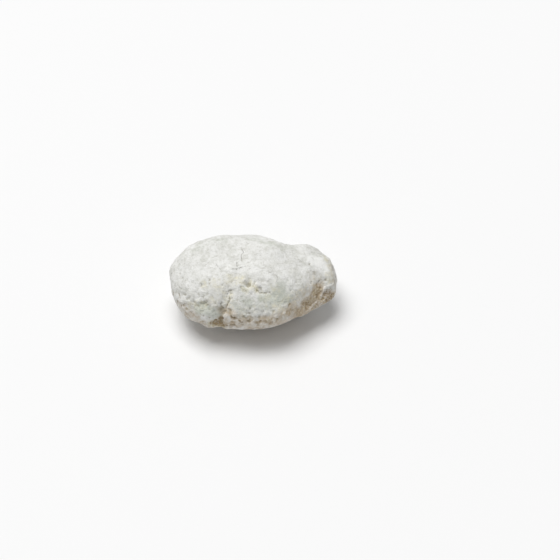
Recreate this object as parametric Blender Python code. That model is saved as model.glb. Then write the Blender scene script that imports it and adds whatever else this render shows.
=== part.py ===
"""Calcite geode: one whole, unopened stone, shaped like a potato, with a pale, chalky, lumpy crust.

The stone is shaped in four steps:
  1. worn faces    the rounded block that its broad, worn faces bound;
  2. forms         the humps, hollows, ledges, cleft and pits that have a place of their own;
  3. weathering    the low lumps and small pits that cover the whole crust;
  4. resting spot  the small flat spot underneath, on which it stands.

Lengths are millimetres until the mesh is made, which is in metres. +X runs along the stone, -Y is its
front and +Z is up. The origin is on the ground, under the middle of the stone.
"""

from math import radians

import bmesh
import bpy
import numpy as np
from mathutils import Vector, noise

# ---- Driving dimensions (mm)

LENGTH = 65.0               # along X
WIDTH = 42.0                # along Y
HEIGHT = 31.0               # along Z
REST_CUT = 0.8              # how much the resting spot takes off the rounded underside

CELLS = (40, 26, 20)        # faces along X, Y and Z of the box that the stone is blown up from
SHARP_FROM = 50.0           # edges that turn by more than this many degrees stay sharp

CRUST_COLOUR = (0.66, 0.65, 0.60)
CRUST_ROUGHNESS = 0.92

# ---- Worn faces: azimuth (0 is +X, 90 is +Y), elevation, and distance from the middle (degrees and mm)

EDGE_SHARPNESS = 13.0       # higher keeps the edges between the worn faces sharper

WORN_FACES = [
    # around the outline, as seen from the front and above
    (8, 7, 32.8),           # right end
    (43, 30, 26.3),         # right end, behind
    (75, 39, 18.7),         # right shoulder, behind
    (95, 40, 19.2),         # back slope
    (118, 37, 23.2),        # left hump, behind
    (144, 26, 28.6),        # left end, behind
    (170, 8, 32.8),         # left end
    (192, -10, 31.0),       # left end, front
    (223, -30, 28.0),       # underside, front left
    (263, -40, 18.5),       # underside, front
    (291, -38, 18.7),       # underside, front right
    (306, -34, 20.6),       # underside, right
    (350, -8, 32.6),        # right end, front
    # the top and the front
    (250, 84, 15.0),        # top
    (90, 64, 16.6),         # back edge of the top
    (197, 54, 23.0),        # top, left
    (345, 65, 16.5),        # top, right
    (275, 62, 16.2),        # front edge of the top
    (268, 34, 18.3),        # front
    (268, -3, 20.6),        # front, low
    (232, 25, 24.3),        # front, left
    (312, 22, 20.5),        # front, right
    # the back
    (90, 15, 21.3),         # back
    (90, -25, 20.5),        # back, low
    (135, -8, 28.0),        # back, left
    (45, -8, 28.0),         # back, right
    # underneath
    (0, -90, 16.2),         # middle
    (90, -60, 17.6),        # behind
    (270, -68, 16.8),       # in front
    (175, -48, 26.0),       # left
    (5, -48, 24.5),         # right
    (220, -58, 21.0),       # front left
    (320, -58, 19.5),       # front right
]

# ---- Forms: name, height out of the surface (below zero, depth), reach to each side, and path (mm).
# A path's points are given from the middle of the stone, and are laid on its surface.

FORMS = [
    # the outline
    ("step behind the right shoulder", -3.2, 8.5, [(12, 19.5, 4), (15, 16.5, 9)]),
    ("corner of the left end", 1.0, 6.0, [(-31, 4, 3)]),
    ("knob of the right end", 1.7, 5.0, [(31, -5, -3)]),
    # the front, right of the middle
    ("crater", -1.4, 2.4, [(-2, -10.5, 11.5)]),
    ("lip of the crater", 0.5, 2.2, [(-5, -9.5, 12.5), (-3.5, -12.5, 10.5), (0, -12.5, 10.5)]),
    ("hole beside the crater", -1.2, 1.9, [(2, -12, 10)]),
    ("crack from the hole", -0.6, 1.7, [(2, -12, 10), (6, -13.5, 9)]),
    ("dip of the front", -0.7, 7.0, [(6, -14, 9), (10.5, -12.5, 9.5)]),
    ("swelling of the front", 0.6, 6.0, [(1, -17, 7.5)]),
    ("low lump, left", 0.5, 2.8, [(-5, -20.5, 0.5)]),
    ("low lump, middle", 0.6, 3.0, [(0.5, -20.5, 0)]),
    ("low lump, right", 0.6, 3.0, [(6, -20, 0.5)]),
    ("low lump, far right", 0.5, 3.0, [(11.5, -17.5, 1)]),
    # the cleft, which runs down the front and under it
    ("cleft, upper run", -0.8, 2.1, [(-6, -7, 13), (-7.5, -10.5, 12), (-8.5, -13, 9.5)]),
    ("cleft, lower run", -1.5, 2.4, [(-8.5, -13, 9.5), (-9, -15.5, 7), (-10, -17.5, 3.5)]),
    ("cleft, foot", -0.9, 2.4, [(-10, -17.5, 3.5), (-11.5, -18, -0.5), (-11.5, -17, -5), (-12, -13, -11)]),
    ("pit beside the cleft", -1.0, 2.2, [(-12, -16.5, 4.5)]),
    ("crumb in the cleft", 0.9, 1.8, [(-10, -18.5, 2.5)]),
    # the pitted left of the front
    ("left lump", 0.8, 3.8, [(-17.5, -17.5, 3)]),
    ("far left lump", 0.6, 4.0, [(-24, -13, 5)]),
    ("left pit", -0.9, 2.2, [(-18, -15, 6)]),
    ("pits of the left shoulder", -0.6, 2.2, [(-16, -9.5, 12.5), (-17, -10.5, 11)]),
    ("valley of the left shoulder", -0.5, 3.5, [(-16, -4.5, 13.5), (-20, -11.5, 9.5)]),
    # the right end
    ("smooth swelling", 0.8, 7.0, [(25.5, 2.5, 8.5)]),
    ("stained hollow", -1.4, 5.5, [(23.5, -6, 4), (21, -10.5, 0.5)]),
    ("pits above the hollow", -0.7, 2.2, [(24.5, -2.5, 7), (25.5, -4, 5)]),
    ("pale rim", 0.8, 2.8, [(29, 0, 5), (30, -2.5, 2), (28, -5, 1.5)]),
    ("hollow under the rim", -0.9, 2.4, [(28.5, -5, -1.5)]),
    ("ledge below the hollow", 0.8, 2.4, [(18, -14, -3), (20.5, -12.5, -3), (25, -8, -3)]),
    # the top
    ("dent of the top", -0.5, 4.0, [(-4, 2, 15), (-5, -4.5, 14)]),
    ("saddle of the top", -0.7, 6.5, [(11, -2, 14), (13, 9, 12.5)]),
    # the back
    ("back hollow", -1.3, 8.0, [(-8, 20, -2), (2, 20, -5)]),
    ("back knob", 1.0, 5.0, [(19, 16, -3)]),
    ("back ledge", 0.9, 3.2, [(-24, 14, -2), (-17, 18, -4), (-9, 19, -8)]),
    ("back pit", -1.2, 2.6, [(7, 20, 1)]),
    ("far pit", -1.0, 2.4, [(-21, 15, 5)]),
    # the underside
    ("hollow of the underside, left", -1.0, 7.0, [(-22, -3, -12)]),
    ("hollow of the underside, right", -0.9, 6.0, [(21, 4, -12)]),
]

# ---- Weathering (mm)

LUMP_SIZES = [(9.0, 0.50), (4.5, 0.35)]     # how far apart the lumps are, and how high
PIT_SPACING = 6.5
PIT_REACH = 1.9
PIT_DEPTH = 0.7             # on the sides and underneath
PIT_DEPTH_TOP = 0.3


def box_grid(cells):
    """A cube from -1 to 1, cut into the given number of faces along each axis, as a BMesh."""
    mesh = bmesh.new()
    bmesh.ops.create_cube(mesh, size=2.0)
    for axis, count in enumerate(cells):
        along = [edge for edge in mesh.edges
                 if abs(edge.verts[0].co[axis] - edge.verts[1].co[axis]) > 1.0]
        bmesh.ops.subdivide_edges(mesh, edges=along, cuts=count - 1, use_grid_fill=True)
    return mesh


def outward_directions(grid_points):
    """Unit directions from the middle of the stone, spread evenly over its long shape."""
    spread = np.tan(grid_points * np.pi / 4) * (LENGTH, WIDTH, HEIGHT)
    return spread / np.linalg.norm(spread, axis=1, keepdims=True)


def face_normals_and_distances():
    azimuth, elevation, distance = np.array(WORN_FACES, dtype=float).T
    azimuth, elevation = np.radians(azimuth), np.radians(elevation)
    normals = np.stack([np.cos(elevation) * np.cos(azimuth),
                        np.cos(elevation) * np.sin(azimuth),
                        np.sin(elevation)], axis=1)
    return normals, distance


def worn_block(directions):
    """Points and outward normals of the rounded block that the worn faces bound."""
    normals, distance = face_normals_and_distances()
    reach = np.maximum(directions @ normals.T, 0.0) / distance
    points = directions * (reach ** EDGE_SHARPNESS).sum(axis=1, keepdims=True) ** (-1 / EDGE_SHARPNESS)
    pull = (reach ** (EDGE_SHARPNESS - 1)) / distance
    outward = pull @ normals
    return points, outward / np.linalg.norm(outward, axis=1, keepdims=True)


def distance_to_path(points, path):
    """How far each point of the surface is from a path along it, or from its one point."""
    radius = np.linalg.norm(points, axis=1, keepdims=True)
    laid = [radius * np.array(point) / np.linalg.norm(point) for point in path]
    nearest = np.linalg.norm(points - laid[0], axis=1)
    for start, end in zip(laid[:-1], laid[1:]):
        run = end - start
        along = np.clip(((points - start) * run).sum(axis=1) / (run * run).sum(axis=1), 0.0, 1.0)
        nearest = np.minimum(nearest, np.linalg.norm(points - start - along[:, None] * run, axis=1))
    return nearest


def falloff(distance, reach):
    """One at no distance, falling smoothly to nothing at the reach."""
    return np.maximum(1.0 - (distance / reach) ** 2, 0.0) ** 2


def form_heights(points):
    """How far the named forms raise each point out of the surface, or sink it in."""
    heights = np.zeros(len(points))
    for _name, height, reach, path in FORMS:
        heights += height * falloff(distance_to_path(points, path), reach)
    return heights


def weathering_heights(points, outward):
    """The low lumps and the small pits that cover the whole crust. Its top is worn smoother."""
    heights = np.zeros(len(points))
    for size, height in LUMP_SIZES:
        heights += height * np.array([noise.noise(Vector(point / size)) for point in points])
    to_pit = PIT_SPACING * np.array([noise.voronoi(Vector(point / PIT_SPACING))[0][0] for point in points])
    depth = np.interp(outward[:, 2], (0.3, 0.9), (PIT_DEPTH, PIT_DEPTH_TOP))
    return heights - depth * falloff(to_pit, PIT_REACH)


def brought_to_size(points):
    """Scales the stone to its driving size, with its middle at the origin and the resting spot uncut."""
    size = np.array((LENGTH, WIDTH, HEIGHT + REST_CUT))
    points = (points - points.min(axis=0)) * size / (points.max(axis=0) - points.min(axis=0))
    return points - (LENGTH / 2, WIDTH / 2, HEIGHT / 2 + REST_CUT)


def stood_on_resting_spot(points):
    """Cuts the flat spot off the underside, and puts the origin on the ground below the stone."""
    points = points + (0, 0, HEIGHT / 2)
    points[:, 2] = np.maximum(points[:, 2], 0.0)
    return points


def crust_material():
    material = bpy.data.materials.new("chalky_crust")
    material.use_nodes = True
    shader = material.node_tree.nodes["Principled BSDF"]
    shader.inputs["Base Color"].default_value = (*CRUST_COLOUR, 1.0)
    shader.inputs["Roughness"].default_value = CRUST_ROUGHNESS
    shader.inputs["Metallic"].default_value = 0.0
    return material


def make_geode():
    grid = box_grid(CELLS)
    directions = outward_directions(np.array([vertex.co for vertex in grid.verts]))
    points, outward = worn_block(directions)
    points = brought_to_size(points)
    points += outward * (form_heights(points) + weathering_heights(points, outward))[:, None]
    for vertex, point in zip(grid.verts, stood_on_resting_spot(brought_to_size(points))):
        vertex.co = point / 1000.0
    bmesh.ops.triangulate(grid, faces=grid.faces)
    mesh = bpy.data.meshes.new("geode")
    grid.to_mesh(mesh)
    grid.free()
    mesh.shade_smooth()
    mesh.set_sharp_from_angle(angle=radians(SHARP_FROM))
    mesh.materials.append(crust_material())
    stone = bpy.data.objects.new("geode", mesh)
    bpy.context.scene.collection.objects.link(stone)
    return stone


for leftover in list(bpy.data.objects):
    bpy.data.objects.remove(leftover)
make_geode()
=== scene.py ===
"""The finish of a whole, unopened calcite geode: its weathered, chalky crust, its cracks and its stains.

Places on the stone are in millimetres from its middle: +X is its narrower end, -Y its front and +Z its
top. Each is laid on the nearest point of the surface. The crust's sizes, heights and depths are in
millimetres too. Everything else is in metres.
"""

import math

import bmesh
import bpy
import numpy as np
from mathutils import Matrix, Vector
from mathutils.bvhtree import BVHTree


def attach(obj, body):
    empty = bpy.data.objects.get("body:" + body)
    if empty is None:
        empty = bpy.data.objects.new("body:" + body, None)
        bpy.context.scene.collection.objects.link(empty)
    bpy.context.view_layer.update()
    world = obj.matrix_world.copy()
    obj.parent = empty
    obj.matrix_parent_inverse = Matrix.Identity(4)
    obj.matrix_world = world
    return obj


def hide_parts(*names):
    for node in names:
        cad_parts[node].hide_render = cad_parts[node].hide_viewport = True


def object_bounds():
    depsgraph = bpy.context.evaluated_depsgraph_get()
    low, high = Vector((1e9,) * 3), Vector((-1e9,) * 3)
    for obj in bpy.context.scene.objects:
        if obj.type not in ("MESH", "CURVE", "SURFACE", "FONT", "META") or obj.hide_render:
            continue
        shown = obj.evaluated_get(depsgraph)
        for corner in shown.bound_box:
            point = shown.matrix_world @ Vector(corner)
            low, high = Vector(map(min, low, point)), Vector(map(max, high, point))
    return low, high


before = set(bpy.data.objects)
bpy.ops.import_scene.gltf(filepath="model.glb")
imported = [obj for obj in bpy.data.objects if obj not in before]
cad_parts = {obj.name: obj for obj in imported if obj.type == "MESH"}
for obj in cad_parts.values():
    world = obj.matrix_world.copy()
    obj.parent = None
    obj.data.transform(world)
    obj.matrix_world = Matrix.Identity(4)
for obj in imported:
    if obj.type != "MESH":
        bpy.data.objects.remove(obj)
solid_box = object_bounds()


# ======== The body of the stone
# One nodule of calcite, weathered out of its bed and rounded. It grew in one piece, so its body is the
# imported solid's own surface with its loose triangles joined up. The crust below makes its faces finer.

WELD_DISTANCE = 0.00001
ANY_ANGLE = math.pi


def in_scene(name, data):
    """A new object in the scene, at the origin."""
    new_object = bpy.data.objects.new(name, data)
    bpy.context.scene.collection.objects.link(new_object)
    return new_object


def stone_body(name):
    """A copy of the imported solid, its loose triangles joined up and paired into four-sided faces."""
    surface = bmesh.new()
    surface.from_mesh(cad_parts["geode"].data)
    bmesh.ops.remove_doubles(surface, verts=surface.verts, dist=WELD_DISTANCE)
    bmesh.ops.join_triangles(surface, faces=surface.faces, angle_face_threshold=ANY_ANGLE,
                             angle_shape_threshold=ANY_ANGLE)
    mesh = bpy.data.meshes.new(name)
    surface.to_mesh(mesh)
    surface.free()
    return in_scene(name, mesh)


crust = stone_body("weathered_crust")


# ======== The marks in the crust
# Where the nodule lay against its bed or lost a crumb, the crust has a mark of its own: a crater, a cleft
# that runs down the front, pits and knobs. Each is a hollow or a swelling along a short path.

MILLIMETRE = 0.001
MIDDLE = (solid_box[0] + solid_box[1]) / 2

PITS = [    # depth, reach, path
    # the crater, and the hole and grooves to the right of it
    (0.75, 1.6, [(-1.5, -11, 11.5)]),
    (0.65, 1.6, [(-4, -12.5, 12), (-2.5, -13.5, 11.5)]),
    (0.4, 0.9, [(0.5, -11.5, 12.5), (1, -10.5, 13)]),
    (0.3, 0.9, [(2.5, -9.5, 13), (4, -9.5, 12.5)]),
    (0.8, 0.8, [(1.5, -12.5, 10.5)]),
    (0.3, 0.7, [(1.5, -10, 13)]),
    (0.25, 0.7, [(3, -10, 12.5)]),
    (0.35, 0.8, [(1.5, -12.5, 10.5), (3, -13, 10), (5, -13, 9.5)]),
    (0.25, 0.9, [(16.5, -8, 10)]),
    (0.2, 0.8, [(14.5, -11, 9)]),
    # the cleft and the hollows at its foot
    (0.1, 0.9, [(-6.5, -6, 13.5), (-6, -9, 13), (-7.5, -11.5, 11.5)]),
    (0.2, 1.0, [(-8, -12.5, 10), (-8.5, -14.5, 8)]),
    (0.3, 1.0, [(-8.5, -14.5, 8), (-9.5, -16, 6.5)]),
    (0.45, 1.0, [(-9.5, -16, 6.5), (-10.5, -16.5, 4), (-11.5, -17.5, 2.5)]),
    (0.45, 0.9, [(-10, -17, 4), (-12.5, -18, 1)]),
    (0.4, 0.9, [(-8.5, -14.5, 8)]),
    (0.3, 1.5, [(-12.5, -16, 5), (-11.5, -16.5, 4)]),
    (0.4, 1.0, [(-12, -18.5, 1), (-12, -18.5, -1)]),
    (0.45, 1.1, [(-8, -19.5, 3), (-7, -20, 2.5)]),
    (0.4, 0.8, [(-5, -20.5, 2)]),
    # the left of the front
    (0.35, 0.8, [(-16.5, -9, 12.5)]),
    (0.3, 0.9, [(-16.5, -10.5, 12)]),
    (0.35, 1.0, [(-19.5, -10.5, 11)]),
    (0.2, 1.0, [(-18.5, -12, 10.5)]),
    (0.35, 1.5, [(-20.5, -13, 8.5)]),
    (0.35, 1.4, [(-26, -10.5, 5.5)]),
    (0.3, 1.3, [(-24.5, -12.5, 6)]),
    (0.4, 1.7, [(-22.5, -14, 5.5)]),
    (0.45, 1.8, [(-17.5, -15.5, 5.5), (-16.5, -16.5, 5)]),
    (0.35, 1.5, [(-21, -15, 4.5)]),
    (0.3, 1.2, [(-14, -16.5, 7.5)]),
    (0.45, 1.1, [(-26.5, -12.5, 1.5)]),
    # along the bottom of the front, between its knobs
    (0.4, 1.3, [(-8, -19.5, -2)]),
    (0.3, 1.4, [(-4, -20.5, -0.5)]),
    (0.3, 1.2, [(-5, -20, 2.5)]),
    (0.2, 1.2, [(-1.5, -20, 1.5)]),
    (0.25, 1.4, [(1.5, -20.5, 1), (2, -20.5, -1)]),
    (0.3, 1.4, [(6.5, -20.5, 1), (7, -20, 0)]),
    (0.2, 1.2, [(-0.5, -20, 3)]),
    (0.2, 1.4, [(2.5, -19.5, 3.5)]),
    (0.25, 0.9, [(7, -17.5, 6)]),
    (0.35, 0.8, [(14, -15, 5)]),
    # the tan hollow and the right end
    (0.3, 0.8, [(22, 1, 10)]),
    (0.25, 0.7, [(23.5, -1.5, 8)]),
    (0.3, 0.7, [(24, -2.5, 6.5)]),
    (0.3, 0.7, [(25, -2.5, 4.5)]),
    (0.25, 1.2, [(24, -2.5, 6.5), (23, -1.5, 7.5)]),
    (0.2, 1.1, [(24, -4.5, 4)]),
    (0.25, 1.2, [(25.5, -5, 2.5)]),
    (0.35, 1.1, [(24.5, -7, 0.5)]),
    (0.35, 1.0, [(28, -2.5, 4.5)]),
    (0.5, 2.2, [(27.5, -6, 1), (29.5, -5, 0.5)]),
    (0.4, 1.0, [(27, -7, -1)]),
    (0.35, 1.0, [(19, -11.5, 1)]),
    (0.2, 1.1, [(21, -10, -0.5)]),
    (0.45, 1.1, [(20.5, -12, -1.5)]),
    (0.4, 1.6, [(31, 4, 4), (31.5, 2, 1)]),
    # the top and the back
    (0.25, 1.0, [(-23, 3, 13)]),
    (0.4, 1.0, [(-8, 19, 6), (-6, 19.5, 5)]),
    (0.5, 1.2, [(7, 20, 1)]),
    (0.4, 1.1, [(-20.5, 15, 5), (-22, 14.5, 4)]),
    (0.3, 0.8, [(-17, 17, 1), (-13, 18.5, -1), (-9, 19.5, -4)]),
    (0.35, 0.9, [(20, 14, 4), (17, 16, 0), (13, 18, -3)]),
]

KNOBS = [   # height, reach, path
    # about the crater and the cleft
    (0.45, 1.3, [(2, -11.5, 12)]),
    (0.7, 1.7, [(2, -12, 10)]),
    (0.5, 1.2, [(-3.5, -9.5, 13)]),
    (0.9, 2.2, [(-9, -12, 10), (-9, -12.5, 9)]),
    (0.5, 2.6, [(-7.5, -5, 14), (-7.5, -8, 13)]),
    (0.3, 2.2, [(6, -8, 13.5)]),
    (0.3, 1.8, [(14.5, -9, 10.5)]),
    (0.5, 1.8, [(-7, -10.5, 12), (-8.5, -12.5, 10.5), (-9.5, -14, 9)]),
    (0.8, 2.4, [(-9, -13.5, 9), (-9.5, -16, 6), (-10.5, -17.5, 3)]),
    (0.4, 1.1, [(-9.5, -17.5, 4), (-10, -18.5, 2.5)]),
    (0.9, 3.5, [(-17, -17.5, -4), (-11, -18.5, -5)]),
    # the left of the front
    (0.3, 1.1, [(-16.5, -7.5, 13)]),
    (0.5, 1.2, [(-20.5, -14.5, 6), (-19, -14.5, 7), (-17, -14.5, 9)]),
    (0.35, 1.2, [(-27.5, -11, 2.5), (-25.5, -12.5, 4.5)]),
    (0.3, 1.2, [(-21.5, -11, 9)]),
    (0.35, 0.9, [(-18, -15.5, 5.5)]),
    # along the bottom of the front
    (0.6, 1.6, [(-5.5, -20.5, 0)]),
    (0.4, 1.6, [(-2, -20.5, -0.5)]),
    (0.2, 1.8, [(0.5, -20.5, -0.5)]),
    (0.6, 1.6, [(3.5, -20, 0), (5, -20.5, 0)]),
    (0.5, 1.4, [(8, -19.5, 1.5)]),
    (0.4, 1.4, [(-6.5, -19, 4.5)]),
    (0.45, 1.4, [(-2.5, -19, 4)]),
    (0.45, 1.4, [(1, -19, 4.5)]),
    (0.45, 1.5, [(5, -18.5, 4.5)]),
    (0.4, 1.3, [(9, -19, 3)]),
    (0.4, 1.3, [(12, -18, 3.5)]),
    # the pale rims of the right end
    (0.45, 1.0, [(26.5, -6.5, 0.5), (27.5, -5, 2.5)]),
    (0.3, 0.9, [(29, -4, 2.5), (31, -2.5, 2)]),
    (0.35, 0.9, [(21, -12, -2), (22.5, -10.5, -2), (24, -9, -1.5)]),
    (0.4, 2.0, [(29, 7, 5)]),
    (0.4, 1.8, [(32, 0.5, 0)]),
    # the earth that fills the tan hollow a little
    (0.8, 4.0, [(23.5, -4, 4.5), (21.5, -8.5, 2)]),
    # the back
    (0.5, 1.4, [(-14, 18, -4)]),
    (0.4, 1.2, [(-4, 20, -1)]),
    (0.5, 1.3, [(19, 15.5, -2)]),
]

crust_surface = BVHTree.FromPolygons([vertex.co for vertex in crust.data.vertices],
                                     [face.vertices for face in crust.data.polygons])


def laid(place):
    """The nearest point of the stone's surface to a place in millimetres from its middle."""
    return crust_surface.find_nearest(MIDDLE + Vector(place) * MILLIMETRE)[0]


def runs_along(path, **values):
    """The straight runs from each point of a path to the next, or one of no length at a single point.

    A run is its start, its finish and the values that go with it.
    """
    if len(path) == 1:
        return [(path[0], path[0], values)]
    return [(start, finish, values) for start, finish in zip(path[:-1], path[1:])]


def guide(name, runs):
    """A helper mesh with a point at each run's start, which holds the run's finish and its values."""
    mesh = bpy.data.meshes.new(name)
    mesh.from_pydata([laid(start) for start, _finish, _values in runs], [], [])
    finishes = mesh.attributes.new("finish", "FLOAT_VECTOR", "POINT")
    finishes.data.foreach_set("vector", np.array([laid(finish) for _start, finish, _values in runs]).ravel())
    for value_name, sample in runs[0][2].items():
        if isinstance(sample, tuple):
            values = mesh.attributes.new(value_name, "FLOAT_VECTOR", "POINT")
            values.data.foreach_set("vector", [part for run in runs for part in run[2][value_name]])
        else:
            values = mesh.attributes.new(value_name, "FLOAT", "POINT")
            values.data.foreach_set("value", [run[2][value_name] for run in runs])
    return in_scene(name, mesh)


marks = guide("marks", [
    run
    for side, rows in ((-1.0, PITS), (1.0, KNOBS))
    for rise, reach, path in rows
    for run in runs_along(path, rise=side * rise, reach=reach)
])


# ======== The fine cracks
# The crust shrank as it dried, and fine dark cracks opened in its top. They are too narrow for the mesh,
# so the crust only stores the way from each point to the nearest crack, and its finish cuts them.

CRACKS = [      # strength, path
    (0.6, [(-4, 4.5, 15), (-3.5, 2.5, 15), (-4.5, 1, 15), (-4.5, -1.5, 15)]),
    (1.0, [(-8, -5, 14), (-5, -5, 14)]),
    (0.9, [(-6, -2, 14.5), (-6, -5.5, 13.5)]),
    (0.9, [(-5, -4.5, 14), (-2.5, -4, 14.5)]),
    (0.4, [(-14, -2, 14), (-12, -5.5, 14)]),
    (0.7, [(22.5, 7.5, 9.5), (25, 8, 8), (28, 8, 6)]),
    (0.4, [(11.5, 0.5, 13), (13, 2, 12.5), (15.5, 2.5, 12), (17, 2, 11.5), (19, 2.5, 11)]),
    (0.3, [(9, -2, 14), (12, -1.5, 12.5), (15.5, 0, 12), (19, 1.5, 11)]),
    (0.3, [(1.5, 1.5, 15.5), (3.5, 2, 15.5), (6.5, 2, 15)]),
    (0.3, [(1.5, 5, 15), (4.5, 5, 15.5), (7, 5.5, 15)]),
    (0.7, [(1.5, -12.5, 10.5), (5, -13, 9.5)]),
    (0.4, [(5, -13, 9.5), (7.5, -13.5, 9.5), (11, -13.5, 9)]),
    (0.5, [(6, -6.5, 14), (8, -6.5, 13.5), (9.5, -8, 13), (9, -11, 11.5)]),
    (0.3, [(-6.5, -6, 13.5), (-6, -9, 13), (-6.5, -10.5, 12.5)]),
    (0.6, [(-8.5, -14, 8.5), (-8.5, -15, 8), (-9.5, -16.5, 5.5)]),
    (0.6, [(-22, 8, 11), (-19, 12, 9), (-18, 14, 6), (-15, 16, 4)]),
    (0.7, [(4, 14, 12), (7, 17, 8), (6, 19, 4), (8, 20, 0)]),
]


def crack_lines(name, paths):
    """A helper mesh of edges along the paths. Its points hold their crack's strength."""
    points = []
    strengths = []
    edges = []
    for strength, path in paths:
        edges += [(len(points) + step, len(points) + step + 1) for step in range(len(path) - 1)]
        points += [laid(place) for place in path]
        strengths += [strength] * len(path)
    mesh = bpy.data.meshes.new(name)
    mesh.from_pydata(points, edges, [])
    mesh.attributes.new("strength", "FLOAT", "POINT").data.foreach_set("value", strengths)
    return in_scene(name, mesh)


cracks = crack_lines("cracks", CRACKS)


# ======== The stains
# Iron in the water that ran over the nodule left tan in the hollow of its right end and along its foot,
# brown in the cleft, yellow round the crater and specks of ochre. The tan, brown and ochre low on the front
# and under the right end are partly painted shade and a warm painted reflection from beneath. Clay left a
# grey-green film, and rain washed the high places white. A few runs are painted light instead: white along
# the crest of the top and on the shaded walls of the crater and the hole, and grey-green as painted shade on
# the top's back edge. Each stain is a spot or a short run on the surface.

# The crust stores its stains as two vectors, with one part for each of three colours: warm, then pale.
TAN, BROWN, OCHRE = (1, 0, 0), (0, 1, 0), (0, 0, 1)
YELLOW, GREEN, WHITE = (1, 0, 0), (0, 1, 0), (0, 0, 1)
NONE = (0, 0, 0)

WARM_STAINS_AND_SHADE = [     # colour, strength, reach, path
    (TAN, 1.05, 5.5, [(24.5, -5.5, 2.5), (20.5, -11, 0)]),
    (TAN, 0.3, 5.0, [(23.5, -3, 7), (19, -9.5, 4)]),
    # The tan low on the front, along its foot, on the knob and under the right end is partly painted shade
    # and a warm painted reflection from beneath.
    (TAN, 1.2, 5.0, [(28, -7, -2), (31, -5, -3)]),
    (TAN, 0.5, 3.5, [(-12, -18, 1), (-13, -18, -2)]),
    (TAN, 0.45, 4.5, [(-27, -12, 1), (-22, -16, -1)]),
    (TAN, 0.6, 4.0, [(-8, -20, 0), (4, -20.5, -1), (12, -18, 0)]),
    (TAN, 0.55, 4.5, [(-8.5, -19, 2.5), (-5, -19.5, 2), (0, -20, 1), (5, -20, 1), (9.5, -19, 1)]),
    (TAN, 0.85, 3.8, [(-9.5, -17.5, 4.5), (-7.5, -19, 3.5)]),
    (TAN, 0.5, 3.0, [(-10, -18.5, 2.5), (-9.5, -19, 0)]),
    (TAN, 0.75, 4.0, [(15, -15, 3.5), (13, -17.5, 2.5)]),
    (TAN, 0.9, 4.0, [(16.5, -14.5, 1.5), (18, -14.5, -1.5)]),
    (TAN, 0.9, 3.5, [(3.5, -20, 2), (6.5, -20, 2)]),
    (TAN, 0.65, 3.5, [(9.5, -19, 3), (12.5, -17.5, 3.5)]),
    (TAN, 0.9, 3.5, [(21, -12, -2.5), (24, -9.5, -2.5)]),
    (TAN, 0.9, 3.0, [(25.5, -7.5, -0.5), (27, -7, -1.5)]),
    (TAN, 0.35, 4.5, [(20, -9.5, 5.5), (18, -12, 4), (17, -13.5, 3)]),
    (TAN, 0.5, 4.0, [(13.5, -16.5, 1), (18, -14, -2), (24, -9.5, -4)]),
    (TAN, 0.35, 5.0, [(30.5, 3, 4), (32, -1, 2)]),
    (TAN, 0.65, 2.6, [(-12.5, -16.5, 5), (-11, -17, 3)]),
    (BROWN, 0.15, 2.0, [(-12.5, -16, 5.5), (-11, -17, 3)]),
    (BROWN, 0.9, 1.8, [(-12, -18.5, 1)]),
    (BROWN, 0.6, 1.5, [(-8, -19.5, 3), (-7, -20, 2.5)]),
    (BROWN, 0.35, 1.6, [(-8, -12.5, 10), (-9.5, -16, 6.5)]),
    (BROWN, 0.25, 3.0, [(25, -4.5, 3.5), (22.5, -8, 1), (20.5, -12, -1.5)]),
    # the brown under the right end is partly painted shade and a warm painted reflection from beneath
    (BROWN, 0.6, 3.5, [(30.5, -5, -2), (28, -6.5, -2.5)]),
    (BROWN, 0.45, 3.5, [(23.5, -10, -2), (28, -7, -2.5)]),
    (BROWN, 0.4, 2.2, [(-4, -12.5, 12), (-2.5, -13.5, 11.5)]),
    (BROWN, 0.6, 2.8, [(27.5, -6, 1), (29.5, -5, 0.5)]),
    (BROWN, 0.7, 1.7, [(7, -20, 0)]),
    (BROWN, 0.6, 1.5, [(-5, -20.5, 2), (-4, -20.5, 1.5)]),
    (BROWN, 0.35, 2.2, [(-19.5, -14.5, 7), (-16.5, -16, 6)]),
    (BROWN, 0.4, 2.4, [(-25.5, -13, 3.5), (-23, -14.5, 4)]),
    (BROWN, 0.5, 1.5, [(-8, -19.5, -1.5)]),
    (BROWN, 0.4, 1.6, [(-4, -20.5, -0.5)]),
    (BROWN, 0.4, 1.6, [(1.5, -20.5, 1), (2, -20.5, -1)]),
    (BROWN, 0.3, 1.8, [(-2, -10.5, 11.5)]),
    # the darkest place along the foot: partly brown stain, partly painted shade and a warm painted
    # reflection from beneath
    (BROWN, 0.75, 4.0, [(-15, -18.5, -1), (-11, -18.5, -2)]),
    (OCHRE, 0.8, 1.4, [(14, -15, 5)]),
    (OCHRE, 0.6, 2.4, [(14.5, -16, 3), (14, -17, 1.5)]),
    # at the darkest place along the foot, partly a painted warm reflection from beneath
    (OCHRE, 0.5, 2.6, [(-15, -18.5, -1), (-11, -18.5, -2)]),
    (OCHRE, 0.6, 1.2, [(-5, -20.5, 2)]),
    (OCHRE, 0.5, 1.6, [(0.5, -12, 12)]),
]

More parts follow.
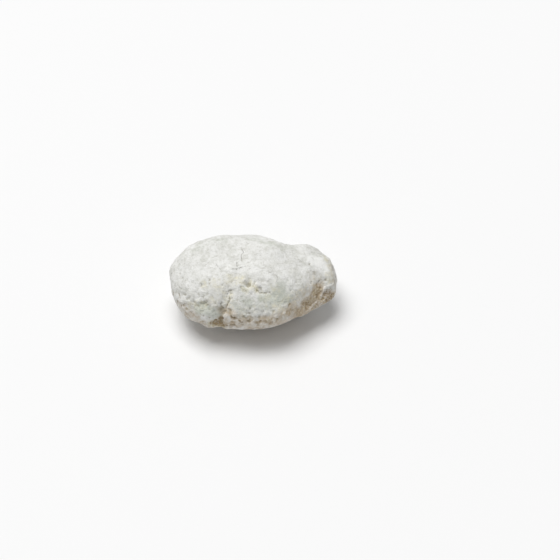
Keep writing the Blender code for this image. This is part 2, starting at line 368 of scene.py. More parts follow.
PALE_STAINS_AND_LIGHT = [     # colour, strength, reach, path
    (YELLOW, 0.65, 3.4, [(-1, -11, 12.5), (1.5, -12.5, 10.5)]),
    (YELLOW, 0.7, 3.0, [(-2.5, -13, 11.5)]),
    (YELLOW, 0.5, 5.0, [(-9, -9, 13), (-4, -9, 13)]),
    (YELLOW, 0.4, 6.0, [(-14, -10, 12.5), (-11, -14, 9)]),
    (YELLOW, 0.4, 6.0, [(5.5, -14.5, 9), (9, -12, 10.5)]),
    (YELLOW, 0.35, 6.0, [(11, -16.5, 6), (-2, -18.5, 6), (-9, -16.5, 6)]),
    (YELLOW, 0.45, 7.0, [(14.5, -13.5, 6.5), (18.5, -11, 5.5)]),
    (YELLOW, 0.5, 5.0, [(-15.5, -16, 7), (-24, -14, 3.5)]),
    (YELLOW, 0.5, 5.0, [(-8.5, -14, 9), (-10, -17, 4)]),
    # at the darkest place along the foot, partly a painted warm reflection from beneath
    (YELLOW, 0.9, 4.5, [(-12, -18.5, -2.5), (-15, -18.5, -1.5)]),
    (YELLOW, 0.5, 3.5, [(-18.5, -10, 11.5)]),
    (YELLOW, 0.5, 5.0, [(12, -17, 3), (9, -17.5, 6)]),
    (YELLOW, 0.35, 7.0, [(19, -9, 7), (24, -3, 6)]),
    (YELLOW, 0.5, 5.0, [(28, 7, 6), (30, -2, 4)]),
    (GREEN, 0.7, 3.5, [(-4, -12.5, 12), (-2.5, -13, 11.5)]),
    (GREEN, 0.6, 5.0, [(2, -18, 6.5), (-3, -16, 9)]),
    (GREEN, 0.6, 4.5, [(7, -17.5, 6), (10, -16.5, 6.5)]),
    (GREEN, 0.7, 7.0, [(5, -15, 9), (10.5, -11, 10.5)]),
    (GREEN, 0.9, 5.0, [(4, -14.5, 9), (8.5, -15, 8.5)]),
    (GREEN, 0.6, 4.5, [(-6.5, -17, 7), (-4, -18.5, 5)]),
    (GREEN, 0.9, 5.0, [(-20, -15, 4), (-14, -17.5, 3)]),
    (GREEN, 0.7, 6.0, [(6, -16, 7), (10.5, -14.5, 8), (14, -13, 8)]),
    (GREEN, 0.3, 5.0, [(8.5, 6, 14.5), (22, 8, 10)]),
    (GREEN, 0.5, 4.5, [(-23, 5.5, 13), (-11, 10, 14)]),
    (GREEN, 0.35, 3.5, [(27, 0, 6.5), (28.5, -1, 5.5)]),
    # painted shade on the back edge of the top, where it turns away from the light
    (GREEN, 0.55, 5.0, [(0, 10, 13.5), (6, 7.5, 14.5)]),
    (GREEN, 0.6, 6.0, [(-4, 20, 4), (10, 19, 2)]),
    (WHITE, 0.85, 5.0, [(23, 3.5, 10), (25.5, 3, 8.5), (27, 1, 7)]),
    (WHITE, 0.5, 3.5, [(24, 0, 8.5), (26, -1, 7)]),
    # these two runs are painted light on the shaded upper walls of the hole and the crater
    (WHITE, 0.8, 1.8, [(2, -11.5, 12), (3, -11.5, 11.5)]),
    (WHITE, 0.8, 1.6, [(-3, -9.5, 13)]),
    (WHITE, 0.2, 6.0, [(-4, -16.5, 8.5), (-1, -17, 8)]),
    (WHITE, 0.8, 1.3, [(27, -5.5, 1.5), (27.5, -5, 2.5)]),
    (WHITE, 0.5, 4.0, [(-9, -4, 14), (-6.5, -6, 14)]),
    # these two runs are painted light along the crest of the top, where it faces the lamp most
    (WHITE, 0.45, 4.5, [(-17, -1.5, 14), (-8, -2.5, 14.5), (1.5, -3, 15), (10.5, -1, 13.5)]),
    (WHITE, 0.5, 4.0, [(-3.5, -5.5, 14.5), (2, -6, 14.5)]),
    (WHITE, 0.5, 5.0, [(-24, -8, 9), (-20, -11.5, 9.5)]),
    (WHITE, 0.6, 2.8, [(6, -8, 13.5)]),
    (WHITE, 0.5, 2.4, [(14.5, -9, 10.5)]),
]

stains = guide("stains", [
    run
    for rows, is_warm in ((WARM_STAINS_AND_SHADE, True), (PALE_STAINS_AND_LIGHT, False))
    for colour, strength, reach, path in rows
    for run in runs_along(
        path, reach=reach,
        warm=tuple(strength * part for part in colour) if is_warm else NONE,
        pale=NONE if is_warm else tuple(strength * part for part in colour))
])


# ======== The weathered crust
# The nodule's own skin, chalky and worn: low lumps, knobbly nubs and small pits all over, rougher on the
# sides than on the smooth top. The marks above are cut into it, and it stays flat where the stone rests.

SHORTEST_RUN_SQUARED = 1e-12        # m2, so that nothing is divided by a run of no length
CRACK_BEND = 1.5                    # mm
SIDE_FACES_UP = 0.45                # from 0 for a wall to 1 for a level face
TOP_FACES_UP = 0.95
NARROW_END_X = 20.0                 # mm
WIDE_END_X = -5.0
NUB_BLEND = 0.25
NUB_MIDDLE = 0.45                   # share of a nub's size, where it is neither up nor down
COMB_MIDDLE = 0.4
PIT_BRIM = 0.46                     # what the noise is at the edge and at the bottom of a pit
PIT_BOTTOM = 0.2
LOWEST_PLACE = (-1.0, -1.0, 0.0)    # on the ground, and far beyond the stone to each side


def add(tree, kind, inputs=None, **settings):
    """Adds a node with its settings. An input is a value, or a socket that is linked to it."""
    node = tree.nodes.new(kind)
    for setting, value in settings.items():
        setattr(node, setting, value)
    for socket_name, value in (inputs or {}).items():
        if isinstance(value, bpy.types.NodeSocket):
            tree.links.new(value, node.inputs[socket_name])
        else:
            node.inputs[socket_name].default_value = value
    return node


def maths(tree, operation, *values, clamp=False):
    """A calculation with numbers."""
    node = add(tree, "ShaderNodeMath", dict(enumerate(values)), operation=operation, use_clamp=clamp)
    return node.outputs[0]


def in_turn(tree, operation, values):
    """One calculation after the other, each with the result so far and the next value."""
    result = values[0]
    for value in values[1:]:
        result = maths(tree, operation, result, value)
    return result


def plus(tree, *values):
    """The values added up."""
    return in_turn(tree, "ADD", values)


def times(tree, *values):
    """The values multiplied with each other."""
    return in_turn(tree, "MULTIPLY", values)


def vectors(tree, operation, *values):
    """A vector calculation. Its result is a vector, or a number for a length, distance or dot product."""
    node = add(tree, "ShaderNodeVectorMath", dict(enumerate(values)), operation=operation)
    gives_number = operation in ("LENGTH", "DISTANCE", "DOT_PRODUCT")
    return node.outputs["Value" if gives_number else "Vector"]


def scaled(tree, vector, factor):
    """A vector multiplied by a number."""
    node = add(tree, "ShaderNodeVectorMath", {"Vector": vector, "Scale": factor}, operation="SCALE")
    return node.outputs["Vector"]


def split(tree, vector):
    """A vector's parts, by the letters X, Y and Z."""
    return add(tree, "ShaderNodeSeparateXYZ", {"Vector": vector}).outputs


def ramp(tree, value, low, high, at_low=0.0, at_high=1.0, smooth=True):
    """Goes from at_low to at_high as the value goes from low to high, and stays there beyond."""
    node = add(tree, "ShaderNodeMapRange",
               {"Value": value, "From Min": low, "From Max": high, "To Min": at_low, "To Max": at_high},
               interpolation_type="SMOOTHSTEP" if smooth else "LINEAR")
    return node.outputs["Result"]


def noise(tree, place, size, detail=2.0, roughness=0.5, output="Fac"):
    """Noise from 0 to 1 whose lumps are about the given size. As a Color, it is three such noises."""
    node = add(tree, "ShaderNodeTexNoise",
               {"Vector": place, "Scale": maths(tree, "DIVIDE", 1.0, size), "Detail": detail,
                "Roughness": roughness})
    return node.outputs[output]


def centred_noise(tree, place, size, height, detail):
    """Lumps and dips of the given size, from half the height above to half below."""
    return times(tree, maths(tree, "SUBTRACT", noise(tree, place, size, detail=detail), 0.5), height)


def shifted(tree, start, place, size, most):
    """A start moved about by a noise of the given size, which never moves it by more than the most."""
    shift = vectors(tree, "SUBTRACT", noise(tree, place, size, detail=4.0, output="Color"), (0.5, 0.5, 0.5))
    return vectors(tree, "ADD", start, scaled(tree, shift, most))


def cells(tree, place, size, blend=0.0):
    """How far a place is from the middle of its cell. The cells are about the given size across."""
    inputs = {"Vector": scaled(tree, place, maths(tree, "DIVIDE", 1.0, size)), "Scale": 1.0}
    if blend:
        inputs["Smoothness"] = blend
    node = add(tree, "ShaderNodeTexVoronoi", inputs, feature="SMOOTH_F1" if blend else "F1")
    return times(tree, node.outputs["Distance"], size)


def dome(tree, distance, reach):
    """One at no distance, falling smoothly to nothing at the reach."""
    share = maths(tree, "DIVIDE", distance, reach)
    rest = maths(tree, "SUBTRACT", 1.0, times(tree, share, share), clamp=True)
    return times(tree, rest, rest)


def named_inputs(tree, rows):
    """Gives a tree its inputs, and returns their sockets' identifiers by name."""
    identifiers = {}
    for name, kind, value in rows:
        socket = tree.interface.new_socket(name=name, in_out="INPUT", socket_type=kind)
        if value is not None:
            socket.default_value = value
        identifiers[name] = socket.identifier
    return identifiers


def attribute(tree, name, data_type="FLOAT"):
    """What each point holds under a name."""
    node = add(tree, "GeometryNodeInputNamedAttribute", {"Name": name}, data_type=data_type)
    return node.outputs["Attribute"]


def stored(tree, geometry, name, value, data_type="FLOAT"):
    """A geometry whose points hold a value under a name."""
    node = add(tree, "GeometryNodeStoreNamedAttribute",
               {"Geometry": geometry, "Name": name, "Value": value},
               data_type=data_type, domain="POINT")
    return node.outputs["Geometry"]


def sampled(tree, geometry, value, index, data_type="FLOAT"):
    """A value at one point of a geometry."""
    node = add(tree, "GeometryNodeSampleIndex", {"Geometry": geometry, "Value": value, "Index": index},
               data_type=data_type, domain="POINT")
    return node.outputs["Value"]


def told(tree, helper, name, index, data_type="FLOAT"):
    """What one point of a helper's geometry holds under a name."""
    return sampled(tree, helper, attribute(tree, name, data_type), index, data_type)


def helper_geometry(tree, helper):
    """The geometry of a helper object."""
    return add(tree, "GeometryNodeObjectInfo", {"Object": helper}).outputs["Geometry"]


def worked(tree, kind, geometry, **inputs):
    """A geometry that a node has worked on."""
    return add(tree, kind, {"Geometry": geometry, **inputs}).outputs[0]


def run_distance_group():
    """How far a place is from the straight run between two points."""
    tree = bpy.data.node_groups.new("distance to run", "GeometryNodeTree")
    named_inputs(tree, [
        ("Place", "NodeSocketVector", None),
        ("Start", "NodeSocketVector", None),
        ("Finish", "NodeSocketVector", None),
    ])
    tree.interface.new_socket(name="Distance", in_out="OUTPUT", socket_type="NodeSocketFloat")
    given = add(tree, "NodeGroupInput").outputs
    run = vectors(tree, "SUBTRACT", given["Finish"], given["Start"])
    from_start = vectors(tree, "SUBTRACT", given["Place"], given["Start"])
    squared_length = maths(tree, "MAXIMUM", vectors(tree, "DOT_PRODUCT", run, run), SHORTEST_RUN_SQUARED)
    along = maths(tree, "DIVIDE", vectors(tree, "DOT_PRODUCT", from_start, run), squared_length, clamp=True)
    distance = vectors(tree, "DISTANCE", from_start, scaled(tree, run, along))
    add(tree, "NodeGroupOutput", {"Distance": distance})
    return tree


run_distance = run_distance_group()


def over_each_run(tree, geometry, runs, place, store):
    """Goes through the points of a guide. For each, store adds what it says to the crust's attributes."""
    count = add(tree, "GeometryNodeAttributeDomainSize", {"Geometry": runs}, component="MESH")
    start_zone = tree.nodes.new("GeometryNodeRepeatInput")
    end_zone = tree.nodes.new("GeometryNodeRepeatOutput")
    start_zone.pair_with_output(end_zone)
    tree.links.new(count.outputs["Point Count"], start_zone.inputs["Iterations"])
    tree.links.new(geometry, start_zone.inputs["Geometry"])
    index = start_zone.outputs["Iteration"]
    run_start = add(tree, "GeometryNodeInputPosition").outputs["Position"]
    distance = add(tree, "GeometryNodeGroup", {
        "Place": place,
        "Start": sampled(tree, runs, run_start, index, "FLOAT_VECTOR"),
        "Finish": told(tree, runs, "finish", index, "FLOAT_VECTOR"),
    }, node_tree=run_distance).outputs["Distance"]
    reach = told(tree, runs, "reach", index)
    nearness = dome(tree, maths(tree, "DIVIDE", distance, MILLIMETRE), reach)
    tree.links.new(store(start_zone.outputs["Geometry"], index, nearness), end_zone.inputs["Geometry"])
    return end_zone.outputs["Geometry"]


def crust_tree():
    """Subdivides the stone's body, wears it, cuts its marks and stores what its finish needs."""
    tree = bpy.data.node_groups.new("weathered crust", "GeometryNodeTree")
    identifiers = named_inputs(tree, [
        ("Geometry", "NodeSocketGeometry", None),
        ("Marks", "NodeSocketObject", None),
        ("Stains", "NodeSocketObject", None),
        ("Cracks", "NodeSocketObject", None),
        ("Levels", "NodeSocketInt", 2),
        ("Ragged Size", "NodeSocketFloat", 1.6),
        ("Raggedness", "NodeSocketFloat", 1.6),
        ("Crack Bend Size", "NodeSocketFloat", 3.0),
        ("Lump Size", "NodeSocketFloat", 3.2),
        ("Lump Height", "NodeSocketFloat", 0.45),
        ("Nub Size", "NodeSocketFloat", 1.5),
        ("Nub Height", "NodeSocketFloat", 0.3),
        ("Pit Size", "NodeSocketFloat", 1.8),
        ("Pit Depth", "NodeSocketFloat", 0.5),
        ("Comb Size", "NodeSocketFloat", 1.3),
        ("Comb Height", "NodeSocketFloat", 0.6),
        ("Grain Size", "NodeSocketFloat", 0.8),
        ("Grain Height", "NodeSocketFloat", 0.16),
        ("Top Smoothness", "NodeSocketFloat", 0.7),
        ("Narrow End Smoothness", "NodeSocketFloat", 0.6),
        ("Smooth Foot", "NodeSocketFloat", 1.5),
        ("Material", "NodeSocketMaterial", None),
    ])
    tree.interface.new_socket(name="Geometry", in_out="OUTPUT", socket_type="NodeSocketGeometry")
    given = add(tree, "NodeGroupInput").outputs
    fine = add(tree, "GeometryNodeSubdivisionSurface", {"Mesh": given["Geometry"], "Level": given["Levels"]})
    geometry = fine.outputs["Mesh"]

    # Places in millimetres, and the same places shifted about so that no outline is round or straight.
    position = add(tree, "GeometryNodeInputPosition").outputs["Position"]
    normal = add(tree, "GeometryNodeInputNormal").outputs["Normal"]
    facing_up = split(tree, normal)["Z"]
    place = scaled(tree, position, 1 / MILLIMETRE)
    height = split(tree, place)["Z"]
    ragged = shifted(tree, place, place, given["Ragged Size"], given["Raggedness"])
    geometry = stored(tree, geometry, "ragged_place", ragged, "FLOAT_VECTOR")
    ragged_place = attribute(tree, "ragged_place", "FLOAT_VECTOR")
    ragged_position = scaled(tree, ragged_place, MILLIMETRE)

    # The marks and the stains. Where two of them meet, the stronger one shows.
    mark_runs = helper_geometry(tree, given["Marks"])
    stain_runs = helper_geometry(tree, given["Stains"])

    def store_mark(zone_geometry, index, nearness):
        rise = times(tree, nearness, told(tree, mark_runs, "rise", index))
        risen = maths(tree, "MAXIMUM", attribute(tree, "risen"), rise)
        sunk = maths(tree, "MINIMUM", attribute(tree, "sunk"), rise)
        return stored(tree, stored(tree, zone_geometry, "risen", risen), "sunk", sunk)

    def store_stain(zone_geometry, index, nearness):
        for name in ("warm", "pale"):
            colour = told(tree, stain_runs, name, index, "FLOAT_VECTOR")
            deepest = vectors(tree, "MAXIMUM", attribute(tree, name + "_stain", "FLOAT_VECTOR"),
                              scaled(tree, colour, nearness))
            zone_geometry = stored(tree, zone_geometry, name + "_stain", deepest, "FLOAT_VECTOR")
        return zone_geometry

    geometry = over_each_run(tree, geometry, mark_runs, ragged_position, store_mark)
    geometry = over_each_run(tree, geometry, stain_runs, ragged_position, store_stain)

    # The way to the nearest crack, in millimetres. The cracks bend as they go.
    crack_edges = helper_geometry(tree, given["Cracks"])
    bent = shifted(tree, position, place, given["Crack Bend Size"], CRACK_BEND * MILLIMETRE)
    nearest = add(tree, "GeometryNodeProximity",
                  {"Geometry": crack_edges, "Sample Position": bent}, target_element="EDGES")
    to_crack = vectors(tree, "SUBTRACT", nearest.outputs["Position"], bent)
    geometry = stored(tree, geometry, "to_crack", scaled(tree, to_crack, 1 / MILLIMETRE), "FLOAT_VECTOR")
    nearest_point = add(tree, "GeometryNodeSampleNearest",
                        {"Geometry": crack_edges, "Sample Position": bent}).outputs["Index"]
    strength = told(tree, crack_edges, "strength", nearest_point)
    geometry = stored(tree, geometry, "crack_strength", strength)

    # The weathering: lumps all over, then nubs, pits and grains, which the top has the least of. The pits
    # grow shallow to the narrower end. The earth in the tan hollow has a comb of small cells.
    at_top = maths(tree, "SUBTRACT", 1.0, given["Top Smoothness"])
    sides = ramp(tree, facing_up, SIDE_FACES_UP, TOP_FACES_UP, at_low=1.0, at_high=at_top)
    at_narrow_end = maths(tree, "SUBTRACT", 1.0, given["Narrow End Smoothness"])
    wide_end = ramp(tree, split(tree, place)["X"], NARROW_END_X, WIDE_END_X, at_low=at_narrow_end)
    lumps = centred_noise(tree, place, given["Lump Size"], given["Lump Height"], detail=3.0)
    nub_distance = cells(tree, ragged_place, given["Nub Size"], NUB_BLEND)
    nubs = maths(tree, "SUBTRACT", NUB_MIDDLE, maths(tree, "DIVIDE", nub_distance, given["Nub Size"]))
    nubs = times(tree, nubs, given["Nub Height"])
    hollowed = noise(tree, place, given["Pit Size"], roughness=0.4)
    pits = times(tree, ramp(tree, hollowed, PIT_BRIM, PIT_BOTTOM), given["Pit Depth"], wide_end)
    grains = centred_noise(tree, place, given["Grain Size"], given["Grain Height"], detail=2.0)
    rough = plus(tree, nubs, maths(tree, "SUBTRACT", grains, pits))
    comb_distance = cells(tree, ragged_place, given["Comb Size"])
    comb = maths(tree, "SUBTRACT", maths(tree, "DIVIDE", comb_distance, given["Comb Size"]), COMB_MIDDLE)
    tan = split(tree, attribute(tree, "warm_stain", "FLOAT_VECTOR"))["X"]
    comb = times(tree, comb, given["Comb Height"], ramp(tree, tan, 0.5, 1.0))
    marked = plus(tree, attribute(tree, "risen"), attribute(tree, "sunk"))
    relief = plus(tree, lumps, times(tree, rough, sides), marked, comb)

    # What the finish reads is stored before the points move. Then they move out and in by the relief,
    # which fades to nothing at the foot, so that the stone lies flat. No point goes below the ground.
    geometry = stored(tree, geometry, "body_place", place, "FLOAT_VECTOR")
    geometry = stored(tree, geometry, "height", height)
    geometry = stored(tree, geometry, "facing_up", facing_up)
    off_the_foot = ramp(tree, height, 0.0, given["Smooth Foot"])
    geometry = stored(tree, geometry, "relief", times(tree, relief, off_the_foot))
    move = scaled(tree, normal, times(tree, attribute(tree, "relief"), MILLIMETRE))
    geometry = worked(tree, "GeometryNodeSetPosition", geometry, Offset=move)
    above_ground = vectors(tree, "MAXIMUM", position, LOWEST_PLACE)
    geometry = worked(tree, "GeometryNodeSetPosition", geometry, Position=above_ground)

    # How deep each point lies in a hollow, in millimetres, below zero on a swelling: below the points
    # that are within a few steps of it on the mesh, and below those within many.
    for name, steps in (("narrow_hollow", 4), ("wide_hollow", 30)):
        smoothed = add(tree, "GeometryNodeBlurAttribute", {"Value": position, "Iterations": steps},
                       data_type="FLOAT_VECTOR").outputs["Value"]
        below = vectors(tree, "DOT_PRODUCT", vectors(tree, "SUBTRACT", smoothed, position), normal)
        geometry = stored(tree, geometry, name, maths(tree, "DIVIDE", below, MILLIMETRE))
    geometry = worked(tree, "GeometryNodeSetShadeSmooth", geometry)
    geometry = worked(tree, "GeometryNodeRealizeInstances", geometry)
    geometry = worked(tree, "GeometryNodeSetMaterial", geometry, Material=given["Material"])
    add(tree, "NodeGroupOutput", {"Geometry": geometry})
    return tree, identifiers


def made_plain(piece, tree_and_identifiers, values):
    """Runs a tree on a piece with these values, and leaves the result on it as a plain mesh."""
    tree, identifiers = tree_and_identifiers
    modifier = piece.modifiers.new(tree.name, "NODES")
    modifier.node_group = tree
    for name, value in values.items():
        modifier[identifiers[name]] = value
    evaluated = piece.evaluated_get(bpy.context.evaluated_depsgraph_get())
    mesh = bpy.data.meshes.new_from_object(evaluated)
    piece.modifiers.clear()
    piece.data = mesh


# The crust's finish: chalk, off-white, mottled with grey-green and cream, with dirt and painted shade in its
# hollows, earth with painted shade low down, the stains above, dark fine cracks and a dry mealy grain.

def linear(red, green, blue):
    """A colour given as the screen shows it, from 0 to 255, as Blender's colour inputs need it.

    The numbers are those of the curve that screens follow.
    """
    parts = []
    for part in (red / 255, green / 255, blue / 255):
        parts.append(part / 12.92 if part <= 0.04045 else ((part + 0.055) / 1.055) ** 2.4)
    return (*parts, 1.0)


CHALK = linear(233, 233, 230)
CHALK_SHADE = linear(196, 196, 187)
CHALK_WHITE = linear(245, 245, 242)
GREY_GREEN = linear(186, 191, 178)
CREAM = linear(222, 214, 178)
TAN_STAIN = linear(187, 169, 143)
BROWN_STAIN = linear(128, 104, 74)
OCHRE_STAIN = linear(170, 141, 92)
# earth, and painted shade with a warm painted reflection low on the sides
EARTH_AND_SHADE = linear(184, 166, 142)
# dirt, and painted shade, in the hollows; also the colour of the wrinkles
HOLLOW_DIRT_AND_SHADE = linear(146, 140, 120)
CRACK_DIRT = linear(128, 123, 106)

PATCHES = {"size": 1.6, "detail": 5.0, "roughness": 0.65}       # the sizes are in mm
FLECKS = {"size": 0.55, "detail": 3.0, "roughness": 0.6}
DRIFTS = {"size": 5.0, "detail": 5.0, "roughness": 0.7}
WRINKLES = {"size": 2.4, "detail": 3.0, "roughness": 0.55}
WRINKLE_STRETCH = (0.35, 1.0, 1.0)  # along, across and up the stone: below one, they are drawn out
WRINKLE_DEPTH = 0.07                # mm
CRACK_DEPTH = 0.2
NARROW_CRACK = 0.15                 # mm, from its middle to its edge
WIDE_CRACK = 0.26
EARTH_TOP = 22.0                    # mm above the ground
EARTH_EDGE = 17.0
EARTH_THICK = 11.0
FRONT = 14.0                        # mm in front of the stone's middle
LEAST_ROUGH = 0.82
MOST_ROUGH = 0.95
GLOSS = 0.25


def mixed(tree, share, first, second):
    """One colour going over into another as the share goes from 0 to 1."""
    node = add(tree, "ShaderNodeMix", {0: share, 6: first, 7: second}, data_type="RGBA")
    return node.outputs[2]


def mesh_value(tree, name, output="Fac"):
    """What the mesh holds at a place under a name."""
    return add(tree, "ShaderNodeAttribute", attribute_name=name).outputs[output]


def stretched(tree, place, factors):
    """A place with each of its parts multiplied by its own factor."""
    return add(tree, "ShaderNodeMapping", {"Vector": place, "Scale": factors}).outputs["Vector"]


def chalk_group():
    """Mottled chalk: its colour, and the height of its grain in millimetres."""
    tree = bpy.data.node_groups.new("chalk", "ShaderNodeTree")
    named_inputs(tree, [
        ("Place", "NodeSocketVector", None),
        ("Cloud Size", "NodeSocketFloat", 5.0),
        ("Cloud Shade", "NodeSocketFloat", 0.35),
        ("Blotch Size", "NodeSocketFloat", 1.5),
        ("Blotch Shade", "NodeSocketFloat", 0.4),
        ("Blotch Depth", "NodeSocketFloat", 0.05),
        ("Speck Shade", "NodeSocketFloat", 0.3),
        ("Speck Depth", "NodeSocketFloat", 0.06),
        ("Grain Size", "NodeSocketFloat", 0.5),
        ("Grain Slope", "NodeSocketFloat", 0.22),
        ("Meal Size", "NodeSocketFloat", 0.2),
        ("Meal Height", "NodeSocketFloat", 0.06),
    ])
    tree.interface.new_socket(name="Color", in_out="OUTPUT", socket_type="NodeSocketColor")
    tree.interface.new_socket(name="Height", in_out="OUTPUT", socket_type="NodeSocketFloat")
    given = add(tree, "NodeGroupInput").outputs
    place = given["Place"]
    clouds = ramp(tree, noise(tree, place, given["Cloud Size"], detail=3.0, roughness=0.6), 0.4, 0.65)
    blotches = ramp(tree, noise(tree, place, given["Blotch Size"], detail=3.0, roughness=0.6), 0.42, 0.68)
    specks = ramp(tree, noise(tree, place, given["Grain Size"], detail=3.0, roughness=0.7), 0.45, 0.75)
    shade = plus(tree, times(tree, clouds, given["Cloud Shade"]),
                 times(tree, blotches, given["Blotch Shade"]),
                 times(tree, specks, given["Speck Shade"]))
    meal = times(tree, noise(tree, place, given["Meal Size"], detail=3.0), given["Meal Height"])
    grain = times(tree, cells(tree, place, given["Grain Size"]), given["Grain Slope"])
    worn_off = plus(tree, times(tree, blotches, given["Blotch Depth"]),
                    times(tree, specks, given["Speck Depth"]))
    height = maths(tree, "SUBTRACT", maths(tree, "SUBTRACT", meal, grain), worn_off)
    add(tree, "NodeGroupOutput", {"Color": mixed(tree, shade, CHALK, CHALK_SHADE), "Height": height})
    return tree


chalk = chalk_group()


def crust_material():
    """The finish of the crust: the chalk, everything that lies on it or is cut into it, and painted shade.
    """
    material = bpy.data.materials.new("chalky_crust")
    material.use_nodes = True
    tree = material.node_tree
    place = stretched(tree, add(tree, "ShaderNodeTexCoord").outputs["Object"], (1 / MILLIMETRE,) * 3)
    body = add(tree, "ShaderNodeGroup", {"Place": place}, node_tree=chalk).outputs
    patches = noise(tree, place, **PATCHES)
    flecks = noise(tree, place, **FLECKS)
    drifts = noise(tree, place, **DRIFTS)
    pale = split(tree, mesh_value(tree, "pale_stain", "Vector"))
    warm = split(tree, mesh_value(tree, "warm_stain", "Vector"))
    above_ground = mesh_value(tree, "height")
    narrow_hollow = mesh_value(tree, "narrow_hollow")
    wide_hollow = mesh_value(tree, "wide_hollow")

    def left_of(amount, pattern, swing, begins, full):
        """How much of a stain is left at a place: the weaker it is, the fewer patches remain."""
        swung = plus(tree, amount, times(tree, maths(tree, "SUBTRACT", pattern, 0.5), swing))
        return times(tree, ramp(tree, swung, begins, full), ramp(tree, amount, 0.0, 0.15))

    # Earth from its bed clings to its lower sides, more at the front, and least on what stands up from them.
    # Its darkening low down and in the broad hollows is partly painted shade and a warm painted reflection
    # from beneath.
    low_down = ramp(tree, above_ground, EARTH_TOP, EARTH_THICK, at_high=0.6)
    sheltered = ramp(tree, wide_hollow, -0.2, 0.2, at_low=-0.3, at_high=0.3)
    forward = times(tree, split(tree, place)["Y"], -1.0)
    in_front = ramp(tree, forward, 0.0, FRONT, at_low=-0.1, at_high=0.2)
    earth_and_shade_cover = left_of(plus(tree, low_down, sheltered, in_front), drifts, swing=2.2, begins=0.1, full=1.1)
    earth_and_shade = times(tree, earth_and_shade_cover, ramp(tree, above_ground, EARTH_TOP, EARTH_EDGE))

    # The stains. The deep tan is flecked with brown and cream.
    white = left_of(pale["Z"], patches, swing=1.0, begins=0.2, full=0.7)
    green = left_of(pale["Y"], drifts, swing=1.6, begins=0.2, full=0.9)
    yellow = left_of(pale["X"], patches, swing=1.4, begins=0.2, full=0.95)
    tan = left_of(warm["X"], patches, swing=1.2, begins=0.0, full=1.1)
    brown = left_of(warm["Y"], flecks, swing=1.2, begins=0.3, full=0.8)
    ochre = left_of(warm["Z"], flecks, swing=2.2, begins=0.45, full=0.85)
    deep_tan = ramp(tree, warm["X"], 0.6, 1.0)
    brown_flecks = times(tree, deep_tan, ramp(tree, flecks, 0.52, 0.66))
    cream_flecks = times(tree, deep_tan, ramp(tree, flecks, 0.5, 0.36))

    # Dirt and painted shade darken the hollows, browner in the tan ones, and the edges that stand up are
    # worn white.
    dirt_and_shade = mixed(tree, deep_tan, HOLLOW_DIRT_AND_SHADE, BROWN_STAIN)
    in_narrow_hollow = ramp(tree, narrow_hollow, 0.0, 0.14)
    in_wide_hollow = ramp(tree, wide_hollow, 0.05, 0.6)
    worn = ramp(tree, narrow_hollow, 0.0, -0.12)

    # Thin wrinkles run along the top, and come and go.
    waves = noise(tree, stretched(tree, place, WRINKLE_STRETCH), **WRINKLES)
    off_a_wave = maths(tree, "ABSOLUTE", maths(tree, "SUBTRACT", waves, 0.5))
    on_top = ramp(tree, mesh_value(tree, "facing_up"), 0.5, 0.9)
    wrinkle = times(tree, ramp(tree, off_a_wave, 0.03, 0.0), ramp(tree, patches, 0.45, 0.65), on_top)

    # Fine cracks, which open and close along their length.
    opening = ramp(tree, patches, 0.35, 0.65, at_low=NARROW_CRACK, at_high=WIDE_CRACK)
    to_crack = vectors(tree, "LENGTH", mesh_value(tree, "to_crack", "Vector"))
    off_a_crack = maths(tree, "DIVIDE", to_crack, opening)
    crack = times(tree, ramp(tree, off_a_crack, 1.0, 0.3), mesh_value(tree, "crack_strength"))

    # What lies on the chalk, from the lowest layer to the topmost.
    layers = [      # where it lies, how much it covers there, its colour
        # earth, with painted shade and a warm painted reflection low down
        (earth_and_shade, 0.85, EARTH_AND_SHADE),
        (white, 0.75, CHALK_WHITE),
        (green, 0.65, GREY_GREEN),
        (yellow, 0.75, CREAM),
        (tan, 0.9, TAN_STAIN),
        (brown_flecks, 0.5, BROWN_STAIN),
        (cream_flecks, 0.7, CREAM),
        (brown, 0.85, BROWN_STAIN),
        (ochre, 0.85, OCHRE_STAIN),
        # dirt and painted shade in the narrow and the wide hollows
        (in_narrow_hollow, 0.45, dirt_and_shade),
        (in_wide_hollow, 0.3, dirt_and_shade),
        (worn, 0.4, CHALK),
        (wrinkle, 0.3, HOLLOW_DIRT_AND_SHADE),
        (crack, 0.75, CRACK_DIRT),
    ]
    colour = body["Color"]
    for share, cover, paint in layers:
        colour = mixed(tree, times(tree, share, cover), colour, paint)
    height = maths(tree, "SUBTRACT", body["Height"], times(tree, wrinkle, WRINKLE_DEPTH))
    height = maths(tree, "SUBTRACT", height, times(tree, crack, CRACK_DEPTH))
    bump = add(tree, "ShaderNodeBump", {"Height": height, "Distance": MILLIMETRE, "Strength": 1.0})
    roughness = ramp(tree, patches, 0.3, 0.7, at_low=LEAST_ROUGH, at_high=MOST_ROUGH)

    shader = tree.nodes["Principled BSDF"]
    shader.inputs["Specular IOR Level"].default_value = GLOSS
    tree.links.new(colour, shader.inputs["Base Color"])
    tree.links.new(roughness, shader.inputs["Roughness"])
    tree.links.new(bump.outputs["Normal"], shader.inputs["Normal"])
    return material


made_plain(crust, crust_tree(), {
    "Marks": marks,
    "Stains": stains,
    "Cracks": cracks,
    "Material": crust_material(),
})

# The crust laid out flat in six charts, one for each way that the stone's body faces.
SHEET_SIDE = 90.0       # mm
CHARTS = [      # axis it faces along, side of it, axes it spreads along, its middle on the sheet in mm
    (2, 1, (0, 1), (31.0, 17.8)),
    (2, -1, (0, 1), (31.0, 53.0)),
    (1, -1, (0, 2), (31.0, 80.2)),
    (1, 1, (2, 0), (71.0, 28.4)),
    (0, 1, (2, 1), (68.0, 69.4)),
    (0, -1, (2, 1), (82.5, 69.4)),
]


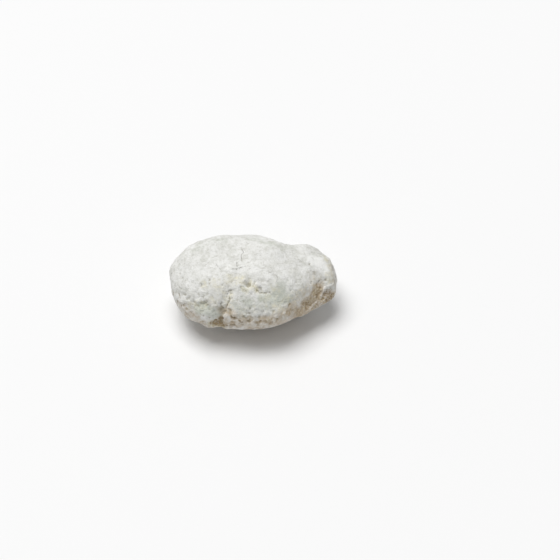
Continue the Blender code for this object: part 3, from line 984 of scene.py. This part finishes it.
def lay_out(mesh):
    """Gives a mesh its flat map, from the places that its points had on the stone's smooth body."""
    places = np.empty(len(mesh.vertices) * 3)
    mesh.attributes["body_place"].data.foreach_get("vector", places)
    places = places.reshape(-1, 3) - np.array(MIDDLE) / MILLIMETRE
    corners = np.empty(len(mesh.loops), dtype=int)
    mesh.loops.foreach_get("vertex_index", corners)
    face_sizes = np.array([face.loop_total for face in mesh.polygons])
    face_of_corner = np.repeat(np.arange(len(face_sizes)), face_sizes)
    face_middles = np.stack(
        [np.bincount(face_of_corner, places[corners, axis]) / face_sizes for axis in range(3)], 1)
    facing = face_middles / np.array(solid_box[1] - solid_box[0]) ** 2
    main_axis = np.abs(facing).argmax(axis=1)
    side = np.sign(facing[np.arange(len(facing)), main_axis])
    flat = np.zeros((len(corners), 2))
    for axis, chart_side, spread, middle in CHARTS:
        inside = ((main_axis == axis) & (side == chart_side))[face_of_corner]
        flat[inside] = places[corners[inside]][:, spread] + middle
    layer = mesh.uv_layers.new(name="OFBake")
    layer.data.foreach_set("uv", (flat / SHEET_SIDE).ravel())


lay_out(crust.data)
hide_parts("geode")
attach(crust, "root")

for helper in (marks, stains, cracks):
    bpy.data.objects.remove(helper)


# ======== The floor, the light and the camera
# A plain pale floor, a large soft light overhead, a little behind the stone and to its left, and a pale
# backdrop, which lights the stone less than it shows.

FLOOR_SIZE = 6.0
FLOOR_COLOUR = linear(240, 240, 240)
FLOOR_ROUGHNESS = 0.9
LIGHT_PLACE = Vector((-1.2, 0.96, 6.0))
LIGHT_SIZE = 4.0
LIGHT_POWER = 352.0
SKY_COLOUR = (1.0, 1.0, 1.0, 1.0)
SKY_STRENGTH = 0.31
BACKDROP_STRENGTH = 0.85
CAMERA_AIM = Vector((0.0104, 0.0007, 0.0161))
CAMERA_ELEVATION = math.radians(51)
CAMERA_DISTANCE = 0.76
CAMERA_LENS = 126.3     # mm

floor_mesh = bpy.data.meshes.new("floor")
edge = FLOOR_SIZE / 2
floor_corners = [(-edge, -edge, 0), (edge, -edge, 0), (edge, edge, 0), (-edge, edge, 0)]
floor_mesh.from_pydata(floor_corners, [], [(0, 1, 2, 3)])
floor = in_scene("floor", floor_mesh)
floor_paint = bpy.data.materials.new("pale_floor")
floor_paint.use_nodes = True
floor_shader = floor_paint.node_tree.nodes["Principled BSDF"]
floor_shader.inputs["Base Color"].default_value = FLOOR_COLOUR
floor_shader.inputs["Roughness"].default_value = FLOOR_ROUGHNESS
floor_mesh.materials.append(floor_paint)

lamp = bpy.data.lights.new("soft_light", "AREA")
lamp.energy = LIGHT_POWER
lamp.size = LIGHT_SIZE
light = in_scene("soft_light", lamp)
light.location = LIGHT_PLACE
light.rotation_euler = (-LIGHT_PLACE).to_track_quat("-Z", "Y").to_euler()

sky = bpy.data.worlds.new("sky")
sky.use_nodes = True
background = sky.node_tree.nodes["Background"]
background.inputs["Color"].default_value = SKY_COLOUR
seen = add(sky.node_tree, "ShaderNodeLightPath").outputs["Is Camera Ray"]
strength = ramp(sky.node_tree, seen, 0.0, 1.0, SKY_STRENGTH, BACKDROP_STRENGTH, smooth=False)
sky.node_tree.links.new(strength, background.inputs["Strength"])
bpy.context.scene.world = sky
bpy.context.scene.view_settings.view_transform = "Standard"

lens = bpy.data.cameras.new("camera")
lens.lens = CAMERA_LENS
camera = in_scene("camera", lens)
backward = Vector((0, -math.cos(CAMERA_ELEVATION), math.sin(CAMERA_ELEVATION)))
camera.location = CAMERA_AIM + backward * CAMERA_DISTANCE
camera.rotation_euler = (-backward).to_track_quat("-Z", "Y").to_euler()
bpy.context.scene.camera = camera
